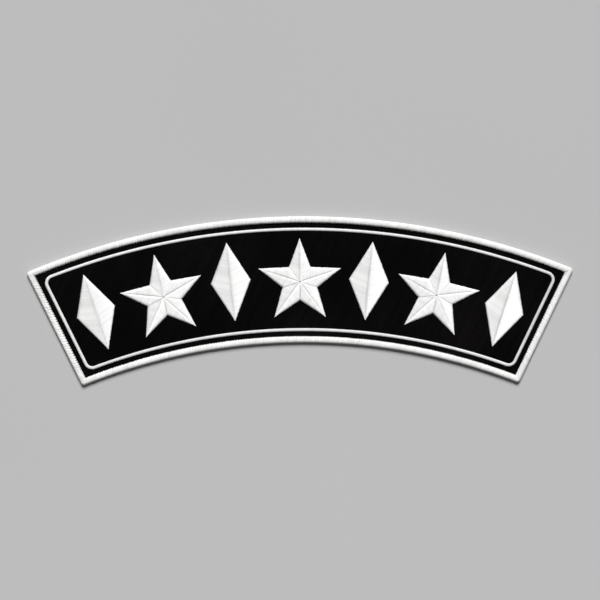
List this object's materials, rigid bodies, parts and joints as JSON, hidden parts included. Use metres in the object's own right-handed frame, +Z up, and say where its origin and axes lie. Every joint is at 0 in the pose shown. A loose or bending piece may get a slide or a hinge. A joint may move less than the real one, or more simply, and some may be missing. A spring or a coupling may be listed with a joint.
{
  "type": "rocker patch",
  "caption": "Curved embroidered rocker patch: black twill with a white overlocked border, a stitched inner line and a row of raised satin-stitched stars and lozenges.",
  "frame": {"origin": "under the middle of the patch's bounding box, on the surface that its back lies on", "axes": "+X along the band, to the right seen from its face; +Y across the band, towards the outer arc; +Z up out of the embroidered face"},
  "size_m": [0.289, 0.0888, 0.0024],
  "materials": {
    "black_twill": "matt black twill weave",
    "white_border_yarn": "soft sheen, dense overlock stitches",
    "white_thread": "satin stitched embroidery thread with a soft sheen"
  },
  "bodies": {
    "root": {"ground_cloth": "black_twill", "overlocked_border": "white_border_yarn", "stitched_line": "white_thread", "star_1": "white_thread", "star_2": "white_thread", "star_3": "white_thread", "lozenge_1": "white_thread", "lozenge_2": "white_thread", "lozenge_3": "white_thread", "lozenge_4": "white_thread"}
  },
  "joints": []
}
